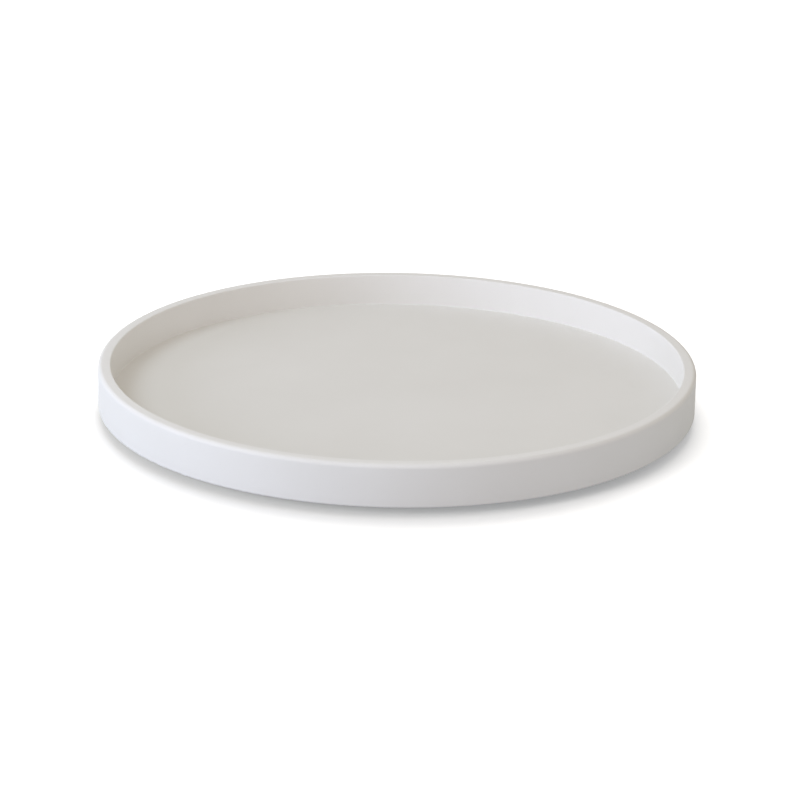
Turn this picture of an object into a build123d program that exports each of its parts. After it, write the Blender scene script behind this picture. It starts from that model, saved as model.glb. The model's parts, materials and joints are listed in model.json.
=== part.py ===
from build123d import *
import math
import os

# Round serving turntable: a rimmed tray that turns on a ring ball bearing standing on rubber feet.
# Frame: +Z up, origin on the table below the tray's centre. All sizes are in millimetres.

# Tray sizes
tray_diameter = 350.0
tray_height = 25.0
rim_wall = 7.5
rim_outer_fillet = 2.5
rim_inner_fillet = 0.8
floor_corner_fillet = 0.4
tray_base_fillet = 1.0
seat_depth = 1.5
seat_clearance = 0.2
insert_cover = 1.1

# Ball and cage sizes
ball_diameter = 3.0
ball_count = 30
ball_pitch_diameter = 220.0
ball_clearance = 0.15
cage_wall = 1.0
cage_side_gap = 0.4
cage_web = 0.5

# Bearing ring sizes
outer_hub_width = 5.3
flange_screw_margin = 1.65
flange_thickness = 3.0
race_thin_land = 0.6
race_thick_land = 1.2
ring_edge_break = 0.3
hub_root_fillet = 0.6

# Screw and threaded insert sizes
screw_count = 8
screw_diameter = 3.0
screw_head_overhang = 1.25
screw_head_angle = 90.0
screw_socket_width = 2.0
screw_socket_depth = 1.1
screw_tip_chamfer = 0.4
screw_end_gap = 1.0
screw_hole_clearance = 0.2
screw_head_clearance = 0.1
insert_wall = 0.55
insert_length = 3.0
insert_clearance = 0.05
insert_end_gap = 0.2

# Ball loading plug and its locking pin
plug_ball_allowance = 0.3
plug_clearance = 0.05
pin_diameter = 1.6
pin_engagement = 0.8
pin_clearance = 0.05

# Rubber feet sizes
foot_count = 8
foot_diameter = 10.0
foot_stand = 1.5
foot_pocket_depth = 1.0
foot_pocket_clearance = 0.1
foot_ring_margin = 2.4
foot_edge_fillet = 0.5

# Sizes of the small pieces
ball_radius = ball_diameter / 2
race_radius = ball_radius + ball_clearance
cage_height = 2 * (race_radius + cage_web)
screw_radius = screw_diameter / 2
screw_head_radius = screw_radius + screw_head_overhang
screw_head_height = screw_head_overhang / math.tan(math.radians(screw_head_angle / 2))
screw_length = flange_thickness + insert_length - screw_end_gap
screw_start_angle = 180 / screw_count
insert_bore_radius = screw_radius + insert_clearance
insert_radius = insert_bore_radius + insert_wall
foot_radius = foot_diameter / 2
foot_height = foot_stand + foot_pocket_depth
plug_radius = ball_radius + plug_ball_allowance
plug_angle = 180 / foot_count
pin_radius = pin_diameter / 2

# Radii worked out from the ball circle, inwards to the feet and outwards to the tray
ball_pitch_radius = ball_pitch_diameter / 2
race_half_gap = cage_wall / 2 + cage_side_gap
inner_race_wall_radius = ball_pitch_radius - race_half_gap
inner_ring_width = foot_diameter + 2 * foot_ring_margin
foot_circle_radius = inner_race_wall_radius - inner_ring_width / 2
outer_race_wall_radius = ball_pitch_radius + race_half_gap
hub_radius = outer_race_wall_radius + outer_hub_width
flange_width = 2 * (screw_head_radius + flange_screw_margin)
screw_circle_radius = hub_radius + flange_width / 2
flange_radius = hub_radius + flange_width
seat_radius = flange_radius + seat_clearance
tray_radius = tray_diameter / 2
rim_inner_radius = tray_radius - rim_wall

# Heights worked out from the table upwards
ring_height = 2 * race_radius + race_thin_land + race_thick_land
inner_ring_bottom = foot_stand
ball_centre_z = inner_ring_bottom + race_thick_land + race_radius
pin_length = ball_centre_z - plug_radius + pin_engagement - inner_ring_bottom
outer_ring_bottom = ball_centre_z - race_radius - race_thin_land
seat_z = outer_ring_bottom + ring_height
flange_bottom = seat_z - flange_thickness
tray_bottom = seat_z - seat_depth
floor_top = seat_z + insert_length + insert_end_gap + insert_cover
rim_top = tray_bottom + tray_height

# Planes that several pieces share
plug_plane = Plane(origin=(0, 0, ball_centre_z), z_dir=Vector(1, 0, 0).rotate(Axis.Z, plug_angle))
seat_plane = Plane.XY.offset(seat_z)
ring_base_plane = Plane.XY.offset(inner_ring_bottom)

os.makedirs("parts", exist_ok=True)

# Tray: one round dish with a recess below that centres the bearing
with BuildPart() as tray:
    with BuildSketch(Plane.XZ) as tray_section:
        with BuildLine():
            Polyline(
                (0, floor_top),
                (rim_inner_radius, floor_top),
                (rim_inner_radius, rim_top),
                (tray_radius, rim_top),
                (tray_radius, tray_bottom),
                (seat_radius, tray_bottom),
                (seat_radius, seat_z),
                (0, seat_z),
                close=True,
            )
        make_face()
        rim_corners = tray_section.vertices().group_by(Axis.Y)[-1].sort_by(Axis.X)
        fillet(rim_corners[-1], radius=rim_outer_fillet)
        rim_corners = tray_section.vertices().group_by(Axis.Y)[-1].sort_by(Axis.X)
        fillet(rim_corners[0], radius=rim_inner_fillet)
        base_corners = tray_section.vertices().group_by(Axis.Y)[0].sort_by(Axis.X)
        fillet(base_corners[-1], radius=tray_base_fillet)
        wall_corners = tray_section.vertices().filter_by_position(Axis.X, rim_inner_radius, rim_inner_radius)
        fillet(wall_corners.sort_by(Axis.Y)[0], radius=floor_corner_fillet)
    revolve(axis=Axis.Z)
    with BuildSketch(seat_plane):
        with PolarLocations(screw_circle_radius, screw_count, start_angle=screw_start_angle):
            Circle(insert_radius + insert_clearance)
    extrude(amount=insert_length + insert_end_gap, mode=Mode.SUBTRACT)
tray.part.label = "tray"
export_step(tray.part, "parts/tray.step")

# Threaded inserts, pressed into the tray level with the bearing seat
with BuildPart() as tray_inserts:
    with BuildSketch(seat_plane):
        with PolarLocations(screw_circle_radius, screw_count, start_angle=screw_start_angle):
            Circle(insert_radius)
            Circle(insert_bore_radius, mode=Mode.SUBTRACT)
    extrude(amount=insert_length)
tray_inserts.part.label = "tray_inserts"
export_step(tray_inserts.part, "parts/tray_inserts.step")

# Outer ring: a hub around the balls and a thin flange that is screwed to the tray
with BuildPart() as outer_ring:
    with BuildSketch(Plane.XZ) as outer_section:
        with BuildLine():
            Polyline(
                (outer_race_wall_radius, outer_ring_bottom),
                (hub_radius, outer_ring_bottom),
                (hub_radius, flange_bottom),
                (flange_radius, flange_bottom),
                (flange_radius, seat_z),
                (outer_race_wall_radius, seat_z),
                close=True,
            )
        make_face()
        hub_root = outer_section.vertices().filter_by_position(Axis.X, hub_radius, hub_radius)
        fillet(hub_root.sort_by(Axis.Y)[-1], radius=hub_root_fillet)
        chamfer(outer_section.vertices().group_by(Axis.Y)[0], length=ring_edge_break)
        flange_corners = outer_section.vertices().group_by(Axis.X)[-1]
        chamfer(flange_corners, length=ring_edge_break)
        with Locations((ball_pitch_radius, ball_centre_z)):
            Circle(race_radius, mode=Mode.SUBTRACT)
    revolve(axis=Axis.Z)
    with Locations(Plane(origin=(0, 0, flange_bottom), z_dir=(0, 0, -1))):
        with PolarLocations(screw_circle_radius, screw_count, start_angle=screw_start_angle):
            CounterSinkHole(
                screw_radius + screw_hole_clearance,
                screw_head_radius + screw_head_clearance,
                counter_sink_angle=screw_head_angle,
            )
outer_ring.part.label = "outer_ring"
export_step(outer_ring.part, "parts/outer_ring.step")

# One countersunk screw with a hexagon socket, head down on the XY plane
with BuildPart() as ring_screw:
    Cylinder(screw_radius, screw_length, align=(Align.CENTER, Align.CENTER, Align.MIN))
    chamfer(ring_screw.edges().group_by(Axis.Z)[-1], length=screw_tip_chamfer)
    Cone(
        screw_head_radius,
        screw_radius,
        screw_head_height,
        align=(Align.CENTER, Align.CENTER, Align.MIN),
    )
    with BuildSketch():
        RegularPolygon(screw_socket_width / 2, side_count=6, major_radius=False)
    extrude(amount=screw_socket_depth, mode=Mode.SUBTRACT)

# The ring's screws, in their countersinks
with BuildPart() as ring_screws:
    with Locations((0, 0, flange_bottom)):
        with PolarLocations(screw_circle_radius, screw_count, start_angle=screw_start_angle):
            add(ring_screw.part)
ring_screws.part.label = "ring_screws"
export_step(ring_screws.part, "parts/ring_screws.step")

# Inner ring before its holes are cut, which the ring and its ball loading plug share
with BuildPart() as inner_ring_blank:
    with BuildSketch(Plane.XZ) as inner_section:
        with Locations((foot_circle_radius, inner_ring_bottom)):
            Rectangle(inner_ring_width, ring_height, align=(Align.CENTER, Align.MIN))
        chamfer(inner_section.vertices(), length=ring_edge_break)
        with Locations((ball_pitch_radius, ball_centre_z)):
            Circle(race_radius, mode=Mode.SUBTRACT)
    revolve(axis=Axis.Z)

# Inner ring: stands on the feet and carries the balls, with a radial hole that the balls went in by
with BuildPart() as inner_ring:
    add(inner_ring_blank.part)
    with BuildSketch(plug_plane):
        Circle(plug_radius + plug_clearance)
    extrude(amount=ball_pitch_radius, mode=Mode.SUBTRACT)
    with BuildSketch(ring_base_plane):
        with PolarLocations(foot_circle_radius, foot_count):
            Circle(foot_radius + foot_pocket_clearance)
    extrude(amount=foot_pocket_depth, mode=Mode.SUBTRACT)
    with BuildSketch(ring_base_plane):
        with PolarLocations(foot_circle_radius, 1, start_angle=plug_angle):
            Circle(pin_radius + pin_clearance)
    extrude(amount=pin_length, mode=Mode.SUBTRACT)
inner_ring.part.label = "inner_ring"
export_step(inner_ring.part, "parts/inner_ring.step")

# Plug that closes the loading hole, its inner end following the race
with BuildPart() as fill_plug:
    add(inner_ring_blank.part)
    with BuildSketch(plug_plane):
        Circle(plug_radius)
    extrude(amount=ball_pitch_radius, mode=Mode.INTERSECT)
    with BuildSketch(ring_base_plane):
        with PolarLocations(foot_circle_radius, 1, start_angle=plug_angle):
            Circle(pin_radius + pin_clearance)
    extrude(amount=pin_length + pin_clearance, mode=Mode.SUBTRACT)
fill_plug.part.label = "fill_plug"
export_step(fill_plug.part, "parts/fill_plug.step")

# Pin from below that locks the plug
with BuildPart() as plug_pin:
    with BuildSketch(ring_base_plane):
        with PolarLocations(foot_circle_radius, 1, start_angle=plug_angle):
            Circle(pin_radius)
    extrude(amount=pin_length)
plug_pin.part.label = "plug_pin"
export_step(plug_pin.part, "parts/plug_pin.step")

# Ball cage: a thin band with one round window for each ball
with BuildPart() as ball_cage:
    with BuildSketch(Plane.XY.offset(ball_centre_z)):
        Circle(ball_pitch_radius + cage_wall / 2)
        Circle(ball_pitch_radius - cage_wall / 2, mode=Mode.SUBTRACT)
    extrude(amount=cage_height / 2, both=True)
    for place in PolarLocations(ball_pitch_radius, ball_count):
        with BuildSketch(Plane(origin=(0, 0, ball_centre_z), z_dir=place.position)):
            Circle(race_radius)
        extrude(amount=hub_radius, mode=Mode.SUBTRACT)
ball_cage.part.label = "ball_cage"
export_step(ball_cage.part, "parts/ball_cage.step")

# Balls, one in each window
for number, place in enumerate(PolarLocations(ball_pitch_radius, ball_count), start=1):
    with BuildPart(Plane(origin=place.position + Vector(0, 0, ball_centre_z))) as ball:
        Sphere(ball_radius)
    ball.part.label = f"ball_{number:02d}"
    export_step(ball.part, f"parts/ball_{number:02d}.step")

# Rubber feet, sunk in shallow pockets under the inner ring
for number, place in enumerate(PolarLocations(foot_circle_radius, foot_count), start=1):
    with BuildPart() as foot:
        with BuildSketch(Plane(origin=place.position)):
            Circle(foot_radius)
        extrude(amount=foot_height)
        fillet(foot.edges().group_by(Axis.Z)[0], radius=foot_edge_fillet)
    foot.part.label = f"foot_{number}"
    export_step(foot.part, f"parts/foot_{number}.step")
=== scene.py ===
import json
import math

import bmesh
import bpy
from mathutils import Matrix, Quaternion, Vector


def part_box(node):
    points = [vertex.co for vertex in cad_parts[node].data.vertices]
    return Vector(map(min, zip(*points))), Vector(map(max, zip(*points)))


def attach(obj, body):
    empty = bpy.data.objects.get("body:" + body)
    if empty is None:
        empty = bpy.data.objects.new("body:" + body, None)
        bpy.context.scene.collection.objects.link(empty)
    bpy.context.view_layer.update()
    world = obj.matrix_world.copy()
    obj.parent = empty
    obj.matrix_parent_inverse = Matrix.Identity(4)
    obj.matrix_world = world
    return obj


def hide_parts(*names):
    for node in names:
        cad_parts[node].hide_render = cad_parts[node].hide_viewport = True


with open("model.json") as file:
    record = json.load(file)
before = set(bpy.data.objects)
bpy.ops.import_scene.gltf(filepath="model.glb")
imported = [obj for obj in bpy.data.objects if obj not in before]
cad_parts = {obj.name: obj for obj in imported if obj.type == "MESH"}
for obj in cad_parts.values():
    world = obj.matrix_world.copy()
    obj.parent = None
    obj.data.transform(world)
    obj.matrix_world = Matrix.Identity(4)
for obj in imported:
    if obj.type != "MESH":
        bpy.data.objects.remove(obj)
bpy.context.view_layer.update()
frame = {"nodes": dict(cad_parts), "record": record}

# Sizes of the tray in metres, the same as its solid's; the rest is read from the frame
RIM_WALL = 0.0075
RIM_OUTER_FILLET = 0.0025
RIM_INNER_FILLET = 0.0008
FLOOR_CORNER_FILLET = 0.0004
BASE_FILLET = 0.001
SEAT_CLEARANCE = 0.0002
POCKET_COUNT = 8
POCKET_CIRCLE = 0.1206
POCKET_RADIUS = 0.00215
POCKET_DEPTH = 0.0032

tray_low, tray_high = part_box("tray")
ring_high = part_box("outer_ring")[1]
mounts = {mount["name"]: mount for mount in frame["record"]["mounts"]}
TRAY_RADIUS = tray_high.x
TRAY_BOTTOM = tray_low.z
RIM_TOP = tray_high.z
SEAT_RADIUS = ring_high.x + SEAT_CLEARANCE
SEAT_HEIGHT = ring_high.z
FLOOR_TOP = mounts["tray_floor"]["pos_m"][2]

# Fineness of the tray's mesh
TRAY_SEGMENTS = 320
POCKET_SEGMENTS = 40
FILLET_STEPS = 10
LOOP_MARGIN = 0.0006
SHARP_ANGLE = 35.0

# Most of a noise lies between these two values
NOISE_LOW = 0.3
NOISE_HIGH = 0.7

# Camera: a long lens from the front, looking down on the rim and tipped by a hair
LENS_MM = 157.5
SENSOR_MM = 36.0
CAMERA_DISTANCE = 2.0527
CAMERA_ELEVATION = 18.79
CAMERA_ROLL = 0.90
AIM_RIGHT = 0.00195
AIM_DROP = 0.0244

# Light: a warm surround, cool lamps on the tray, and warm lamps that lay the tray's shadow on the floor.
# Bearings count from the front to the right
WORLD_LEVEL = 0.578
WORLD_COLOUR = (1.0, 0.944, 0.867)
LAMP_DISTANCE = 2.0
TRAY_LAMPS = {
    "side_lamp": dict(bearing=-74.5, elevation=10.0, size=1.2, power=20.3, colour=(0.71, 0.77, 1.0)),
    "high_lamp": dict(bearing=-65.0, elevation=46.0, size=1.0, power=10.4, colour=(0.74, 0.85, 1.0)),
    "front_lamp": dict(bearing=7.0, elevation=11.5, size=1.2, power=7.7, colour=(0.81, 0.79, 1.0)),
}
FLOOR_LAMPS = {
    "back_lamp": dict(bearing=180.0, elevation=60.0, size=1.6, power=24.0, colour=WORLD_COLOUR),
    "low_lamp": dict(bearing=-45.0, elevation=20.0, size=0.8, power=13.3, colour=WORLD_COLOUR),
}

# Stage: its shown colour makes up for the warm light, so that the floor shows white and its shadow grey.
# From near to far, measured from the turning axis, it runs out into plain white
STAGE_SIZE = 8.0
STAGE_SHOWN = (0.884, 0.918, 0.975, 1.0)
STAGE_BOUNCE = (0.406, 0.453, 0.512, 1.0)
STAGE_LIFT = 0.267
STAGE_NEAR = 0.9
STAGE_FAR = 1.4


class Signal:
    """A shader socket that takes part in arithmetic; each operation adds a Math node."""

    def __init__(self, tree, socket):
        self.tree = tree
        self.socket = socket

    def __add__(self, other):
        return self.tree.maths("ADD", self, other)

    def __radd__(self, other):
        return self.tree.maths("ADD", other, self)

    def __sub__(self, other):
        return self.tree.maths("SUBTRACT", self, other)

    def __rsub__(self, other):
        return self.tree.maths("SUBTRACT", other, self)

    def __mul__(self, other):
        return self.tree.maths("MULTIPLY", self, other)

    def __rmul__(self, other):
        return self.tree.maths("MULTIPLY", other, self)


class Tree:
    """A node tree that is written as calls: one method makes any node."""

    def __init__(self, node_tree):
        self.node_tree = node_tree
        self.node_tree.nodes.clear()

    def node(self, kind, settings=None, inputs=None, output=0):
        """Adds a node, with its settings first and then the values or links of its sockets."""
        made = self.node_tree.nodes.new(kind)
        for name, value in (settings or {}).items():
            setattr(made, name, value)
        for name, value in (inputs or {}).items():
            if isinstance(value, Signal):
                self.node_tree.links.new(value.socket, made.inputs[name])
            else:
                made.inputs[name].default_value = value
        return Signal(self, made.outputs[output]) if made.outputs else None

    def maths(self, operation, first, second):
        """A Math node on two values."""
        return self.node("ShaderNodeMath", {"operation": operation}, {0: first, 1: second})

    def place(self):
        """Position on the object, in metres, which turns with it."""
        return self.node("ShaderNodeTexCoord", output="Object")

    def noise(self, vector, scale, detail, roughness=0.5):
        """An even noise, with its scale per metre."""
        inputs = {"Vector": vector, "Scale": scale, "Detail": detail, "Roughness": roughness}
        return self.node("ShaderNodeTexNoise", inputs=inputs)

    def rings(self, distance, per_metre, detail):
        """Uneven turning marks that run round the axis."""
        inputs = {"W": distance * per_metre, "Scale": 1.0, "Detail": detail}
        return self.node("ShaderNodeTexNoise", {"noise_dimensions": "1D"}, inputs)

    def ramp(self, value, low, high, start=0.0, end=1.0):
        """A value spread from low to high onto start to end, and held there."""
        inputs = {"Value": value, "From Min": low, "From Max": high, "To Min": start, "To Max": end}
        return self.node("ShaderNodeMapRange", {"clamp": True}, inputs)

    def spread(self, noise, start=0.0, end=1.0):
        """A noise drawn out to run from start to end."""
        return self.ramp(noise, NOISE_LOW, NOISE_HIGH, start, end)

    def blend(self, share, first, second):
        """A colour between two, by share."""
        inputs = {"Factor": share, "A": first, "B": second}
        return self.node("ShaderNodeMix", {"data_type": "RGBA"}, inputs, output="Result")

    def height(self, place):
        """Height above the table, in metres."""
        return self.node("ShaderNodeSeparateXYZ", inputs={"Vector": place}, output="Z")

    def axis_distance(self, place):
        """Distance from the turning axis, in metres."""
        flat = self.node("ShaderNodeVectorMath", {"operation": "MULTIPLY"}, {0: place, 1: (1.0, 1.0, 0.0)})
        return self.node("ShaderNodeVectorMath", {"operation": "LENGTH"}, {0: flat}, output="Value")

    def bump(self, height, distance, strength):
        """A surface normal tilted by a height, with its distance in metres."""
        inputs = {"Height": height, "Distance": distance, "Strength": strength}
        return self.node("ShaderNodeBump", inputs=inputs)


def new_finish(name):
    """An empty material and its tree."""
    material = bpy.data.materials.new(name)
    material.use_nodes = True
    return material, Tree(material.node_tree)


def close_finish(tree, inputs):
    """Feeds one Principled shader into the material's output."""
    shader = tree.node("ShaderNodeBsdfPrincipled", inputs=inputs)
    tree.node("ShaderNodeOutputMaterial", inputs={"Surface": shader})


def grey(value):
    """An opaque grey."""
    return (value, value, value, 1.0)


def matte_resin():
    """Off-white cast resin: faint clouds and flecks, a fine matte grain, and a rim top painted lighter
    (painted light) and made a little smoother.
    """
    dark = (0.796, 0.783, 0.742, 1.0)
    light = (0.820, 0.808, 0.769, 1.0)
    # Painted light: a lighter colour for the rim's top, standing in for the extra light it catches over the
    # floor
    painted_rim_light = (0.86, 0.85, 0.82, 1.0)
    speck = (0.70, 0.685, 0.65, 1.0)
    rim_top_band = RIM_OUTER_FILLET / 6
    material, tree = new_finish("matte_resin")
    place = tree.place()
    cloud = tree.noise(place, scale=14.0, detail=3.0)
    fleck = tree.noise(place, scale=900.0, detail=2.0, roughness=0.6)
    grain = tree.noise(place, scale=4200.0, detail=3.0, roughness=0.6)
    rim = tree.ramp(tree.height(place), RIM_TOP - rim_top_band, RIM_TOP)
    specks = tree.ramp(fleck, 0.66, 0.78, 0.0, 0.35)
    body = tree.blend(tree.spread(cloud), dark, light)
    # Painted light: the rim's top is blended towards the lighter colour; the same band is also made a little
    # smoother below
    with_painted_rim_light = tree.blend(rim * 0.6, body, painted_rim_light)
    close_finish(
        tree,
        {
            "Base Color": tree.blend(specks, with_painted_rim_light, speck),
            "Roughness": tree.spread(cloud, 0.58, 0.66) + (grain - 0.5) * 0.10 - rim * 0.06,
            "Normal": tree.bump(grain, distance=0.00002, strength=0.5),
            "IOR": 1.49,
            "Specular IOR Level": 0.12,
        },
    )
    return material


def turned_aluminium():
    """Lathe-turned aluminium: fine and broad rings round the axis and a cloudy sheen."""
    dark = (0.70, 0.71, 0.72, 1.0)
    light = (0.80, 0.81, 0.82, 1.0)
    material, tree = new_finish("turned_aluminium")
    place = tree.place()
    distance = tree.axis_distance(place)
    fine = tree.rings(distance, per_metre=9000.0, detail=2.0)
    broad = tree.rings(distance, per_metre=900.0, detail=1.0)
    cloud = tree.noise(place, scale=60.0, detail=3.0)
    close_finish(
        tree,
        {
            "Base Color": tree.blend(tree.spread(cloud), dark, light),
            "Metallic": 1.0,
            "Roughness": tree.ramp(fine, 0.25, 0.75, 0.24, 0.40) + (cloud - 0.5) * 0.12,
            "Normal": tree.bump(fine * 0.7 + broad * 0.3, distance=0.00002, strength=0.5),
        },
    )
    return material


def plain_metal(name, dark, light, smooth, rough, grain_scale):
    """Small metal pieces: clouded colour and a fine worked surface, from smooth to rough."""
    material, tree = new_finish(name)
    place = tree.place()
    grain = tree.noise(place, grain_scale, detail=3.0)
    cloud = tree.noise(place, grain_scale / 8, detail=2.0)
    close_finish(
        tree,
        {
            "Base Color": tree.blend(tree.spread(cloud), dark, light),
            "Metallic": 1.0,
            "Roughness": tree.spread(grain, smooth, rough),
            "Normal": tree.bump(grain, distance=0.00001, strength=0.3),
        },
    )
    return material


def screw_steel():
    """Plain steel of the screws and the pin."""
    return plain_metal("screw_steel", grey(0.36), grey(0.46), smooth=0.28, rough=0.42, grain_scale=2400.0)


def polished_steel():
    """Bright steel of the balls."""
    return plain_metal("polished_steel", grey(0.70), grey(0.76), smooth=0.06, rough=0.12, grain_scale=5000.0)


def insert_brass():
    """Yellow brass of the threaded inserts."""
    dark = (0.62, 0.44, 0.18, 1.0)
    light = (0.74, 0.56, 0.27, 1.0)
    return plain_metal("insert_brass", dark, light, smooth=0.26, rough=0.40, grain_scale=2400.0)


def moulded_nylon():
    """Natural nylon: milky, slightly waxy and faintly clouded."""
    dark = (0.76, 0.74, 0.67, 1.0)
    light = (0.84, 0.82, 0.76, 1.0)
    material, tree = new_finish("moulded_nylon")
    place = tree.place()
    cloud = tree.noise(place, scale=90.0, detail=3.0)
    grain = tree.noise(place, scale=3000.0, detail=2.0)
    close_finish(
        tree,
        {
            "Base Color": tree.blend(cloud, dark, light),
            "Roughness": tree.spread(grain, 0.38, 0.50),
            "Normal": tree.bump(grain, distance=0.00001, strength=0.4),
        },
    )
    return material


def moulded_rubber():
    """Dark moulded rubber: fine pebbled skin with a dusty bloom."""
    material, tree = new_finish("moulded_rubber")
    place = tree.place()
    pebble = tree.noise(place, scale=2600.0, detail=3.0, roughness=0.6)
    bloom = tree.noise(place, scale=240.0, detail=3.0)
    close_finish(
        tree,
        {
            "Base Color": tree.blend(tree.ramp(bloom, 0.4, 0.7), grey(0.030), grey(0.052)),
            "Roughness": tree.spread(pebble, 0.68, 0.86),
            "Normal": tree.bump(pebble, distance=0.00004, strength=0.6),
        },
    )
    return material


def new_piece(name, mesh):
    """An object in the scene that takes over a bmesh."""
    data = bpy.data.meshes.new(name)
    mesh.to_mesh(data)
    mesh.free()
    piece = bpy.data.objects.new(name, data)
    bpy.context.scene.collection.objects.link(piece)
    return piece


def arc(centre_r, centre_z, radius, start, end):
    """Points of a rounded edge in the tray's section, from angle start to end in degrees."""
    points = []
    for step in range(FILLET_STEPS + 1):
        angle = math.radians(start + (end - start) * step / FILLET_STEPS)
        points.append((centre_r + radius * math.cos(angle), centre_z + radius * math.sin(angle)))
    return points


def with_loops(section):
    """Adds a point close to both ends of every long straight run, so that flat faces shade flat."""
    points = [section[0]]
    for (r0, z0), (r1, z1) in zip(section, section[1:]):
        length = math.hypot(r1 - r0, z1 - z0)
        if length > 4 * LOOP_MARGIN:
            for share in (LOOP_MARGIN / length, 1 - LOOP_MARGIN / length):
                points.append((r0 + (r1 - r0) * share, z0 + (z1 - z0) * share))
        points.append((r1, z1))
    return points


def tray_section():
    """Half section of the tray, from the middle of its floor over the rim to the middle of its seat."""
    wall_radius = TRAY_RADIUS - RIM_WALL
    corner_radius = wall_radius - FLOOR_CORNER_FILLET
    section = [(0.0, FLOOR_TOP)]
    section += arc(corner_radius, FLOOR_TOP + FLOOR_CORNER_FILLET, FLOOR_CORNER_FILLET, -90, 0)
    section += arc(wall_radius + RIM_INNER_FILLET, RIM_TOP - RIM_INNER_FILLET, RIM_INNER_FILLET, 180, 90)
    section += arc(TRAY_RADIUS - RIM_OUTER_FILLET, RIM_TOP - RIM_OUTER_FILLET, RIM_OUTER_FILLET, 90, 0)
    section += arc(TRAY_RADIUS - BASE_FILLET, TRAY_BOTTOM + BASE_FILLET, BASE_FILLET, 0, -90)
    section += [(SEAT_RADIUS, TRAY_BOTTOM), (SEAT_RADIUS, SEAT_HEIGHT), (0.0, SEAT_HEIGHT)]
    return with_loops(section)


def lathe(name, section, segments):
    """Turns a half section that starts and ends on the axis into a closed mesh object."""
    mesh = bmesh.new()
    loops = []
    for radius, height in section:
        if radius == 0.0:
            loops.append([mesh.verts.new((0.0, 0.0, height))])
            continue
        loop = []
        for index in range(segments):
            angle = 2 * math.pi * index / segments
            loop.append(mesh.verts.new((radius * math.cos(angle), radius * math.sin(angle), height)))
        loops.append(loop)
    for upper, lower in zip(loops, loops[1:]):
        for index in range(segments):
            following = (index + 1) % segments
            corners = [upper[index % len(upper)], lower[index % len(lower)]]
            corners += [lower[following % len(lower)], upper[following % len(upper)]]
            # Next to the axis two corners are one point, and the face is a triangle
            mesh.faces.new(dict.fromkeys(corners))
    bmesh.ops.recalc_face_normals(mesh, faces=mesh.faces)
    return new_piece(name, mesh)


def pocket_cutter():
    """Short cylinders where the threaded inserts go into the tray's underside."""
    mesh = bmesh.new()
    for index in range(POCKET_COUNT):
        angle = 2 * math.pi * (index + 0.5) / POCKET_COUNT
        centre = Vector((POCKET_CIRCLE * math.cos(angle), POCKET_CIRCLE * math.sin(angle), SEAT_HEIGHT))
        bmesh.ops.create_cone(
            mesh,
            cap_ends=True,
            segments=POCKET_SEGMENTS,
            radius1=POCKET_RADIUS,
            radius2=POCKET_RADIUS,
            depth=2 * POCKET_DEPTH,
            matrix=Matrix.Translation(centre),
        )
    return new_piece("pocket_cutter", mesh)


def cut_away(piece, cutter):
    """Cuts one mesh out of another and drops the cutter."""
    modifier = piece.modifiers.new("cut", "BOOLEAN")
    modifier.object = cutter
    modifier.operation = "DIFFERENCE"
    modifier.solver = "EXACT"
    graph = bpy.context.evaluated_depsgraph_get()
    piece.data = bpy.data.meshes.new_from_object(piece.evaluated_get(graph))
    piece.modifiers.clear()
    bpy.data.objects.remove(cutter)


def make_tray():
    """The dish, turned with the section of its solid, with the insert pockets in its underside."""
    tray = lathe("tray_dish", tray_section(), TRAY_SEGMENTS)
    cut_away(tray, pocket_cutter())
    tray.data.shade_smooth()
    tray.data.set_sharp_from_angle(angle=math.radians(SHARP_ANGLE))
    tray.data.materials.append(matte_resin())
    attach(tray, "turning_tray")
    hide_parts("tray")


def dress(names, material):
    """Gives CAD nodes their finish."""
    for name in names:
        for slot in frame["nodes"][name].material_slots:
            slot.material = material


def dress_bearing():
    """Finishes of the rings, fasteners, cage, balls and feet."""
    bodies = frame["record"]["behaviour"]["bodies"]
    balls = [name for name in bodies["ball_train"] if name != "ball_cage"]
    feet = [name for name in bodies["base"] if name.startswith("foot_")]
    dress(["inner_ring", "outer_ring", "fill_plug"], turned_aluminium())
    dress(["ring_screws", "plug_pin"], screw_steel())
    dress(["tray_inserts"], insert_brass())
    dress(["ball_cage"], moulded_nylon())
    dress(balls, polished_steel())
    dress(feet, moulded_rubber())


def shown_rays(tree):
    """One on camera, mirror and see-through rays, which show the stage as plain white."""
    camera = tree.node("ShaderNodeLightPath", output="Is Camera Ray")
    mirror = tree.node("ShaderNodeLightPath", output="Is Glossy Ray")
    through = tree.node("ShaderNodeLightPath", output="Is Transmission Ray")
    return tree.maths("MAXIMUM", tree.maths("MAXIMUM", camera, mirror), through)


def make_stage():
    """A white floor that keeps the tray's soft shadow and runs out into plain white."""
    mesh = bmesh.new()
    bmesh.ops.create_grid(mesh, x_segments=1, y_segments=1, size=STAGE_SIZE / 2)
    floor = new_piece("stage_floor", mesh)
    material, tree = new_finish("stage_white")
    shown = shown_rays(tree)
    colour = tree.blend(shown, STAGE_BOUNCE, STAGE_SHOWN)
    matte = tree.node("ShaderNodeBsdfDiffuse", inputs={"Color": colour})
    lift = tree.node("ShaderNodeEmission", inputs={"Color": grey(1.0), "Strength": shown * STAGE_LIFT})
    both = tree.node("ShaderNodeAddShader", inputs={0: matte, 1: lift})
    far = shown * tree.ramp(tree.axis_distance(tree.place()), STAGE_NEAR, STAGE_FAR)
    white = tree.node("ShaderNodeEmission", inputs={"Color": grey(1.0), "Strength": 1.0})
    surface = tree.node("ShaderNodeMixShader", inputs={0: far, 1: both, 2: white})
    tree.node("ShaderNodeOutputMaterial", inputs={"Surface": surface})
    floor.data.materials.append(material)
    return floor


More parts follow.
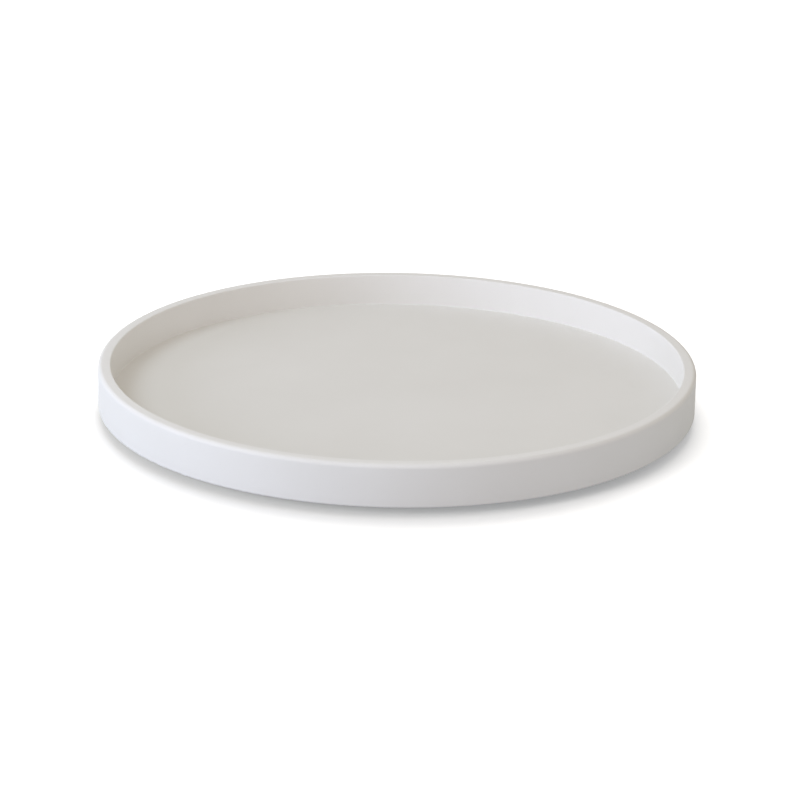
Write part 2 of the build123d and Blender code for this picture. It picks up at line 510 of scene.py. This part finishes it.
def make_world():
    """Soft light from all round, shown as plain white."""
    world = bpy.data.worlds.new("studio")
    world.use_nodes = True
    bpy.context.scene.world = world
    tree = Tree(world.node_tree)
    surround = {"Color": (*WORLD_COLOUR, 1.0), "Strength": WORLD_LEVEL}
    light = tree.node("ShaderNodeBackground", inputs=surround)
    white = tree.node("ShaderNodeBackground", inputs={"Color": grey(1.0), "Strength": 1.0})
    mixed = tree.node("ShaderNodeMixShader", inputs={0: shown_rays(tree), 1: light, 2: white})
    tree.node("ShaderNodeOutputWorld", inputs={"Surface": mixed})


def towards(bearing, elevation):
    """The direction from the middle of the tray at a bearing from the front and a height, in degrees."""
    level = math.cos(math.radians(elevation))
    turn = math.radians(bearing)
    return Vector((level * math.sin(turn), -level * math.cos(turn), math.sin(math.radians(elevation))))


def make_lamp(name, floor, link, bearing, elevation, size, power, colour):
    """A round soft lamp aimed at the tray, whose light either leaves the floor out or falls on it alone."""
    data = bpy.data.lights.new(name, "AREA")
    data.shape = "DISK"
    data.size = size
    data.energy = power
    data.color = colour
    lamp = bpy.data.objects.new(name, data)
    lamp.location = LAMP_DISTANCE * towards(bearing, elevation)
    lamp.rotation_mode = "QUATERNION"
    lamp.rotation_quaternion = (-lamp.location).to_track_quat("-Z", "Y")
    bpy.context.scene.collection.objects.link(lamp)
    lit = bpy.data.collections.new(name + "_lit")
    lit.objects.link(floor)
    lit.collection_objects[0].light_linking.link_state = link
    lamp.light_linking.receiver_collection = lit


def make_lamps(floor):
    """The tray's lamps leave the floor out, and the floor's lamps fall on it alone."""
    for name, lamp in TRAY_LAMPS.items():
        make_lamp(name, floor, "EXCLUDE", **lamp)
    for name, lamp in FLOOR_LAMPS.items():
        make_lamp(name, floor, "INCLUDE", **lamp)


def make_camera():
    """The photograph's view."""
    data = bpy.data.cameras.new("camera")
    data.lens = LENS_MM
    data.sensor_width = SENSOR_MM
    camera = bpy.data.objects.new("camera", data)
    rim_centre = Vector((0.0, 0.0, RIM_TOP))
    camera.location = rim_centre + CAMERA_DISTANCE * towards(0.0, CAMERA_ELEVATION)
    aim_point = rim_centre + Vector((AIM_RIGHT, 0.0, -AIM_DROP))
    aim = (aim_point - camera.location).to_track_quat("-Z", "Y")
    camera.rotation_mode = "QUATERNION"
    camera.rotation_quaternion = aim @ Quaternion((0.0, 0.0, 1.0), math.radians(CAMERA_ROLL))
    bpy.context.scene.collection.objects.link(camera)
    bpy.context.scene.camera = camera


bpy.context.scene.view_settings.view_transform = "Standard"
make_tray()
dress_bearing()
make_lamps(make_stage())
make_world()
make_camera()
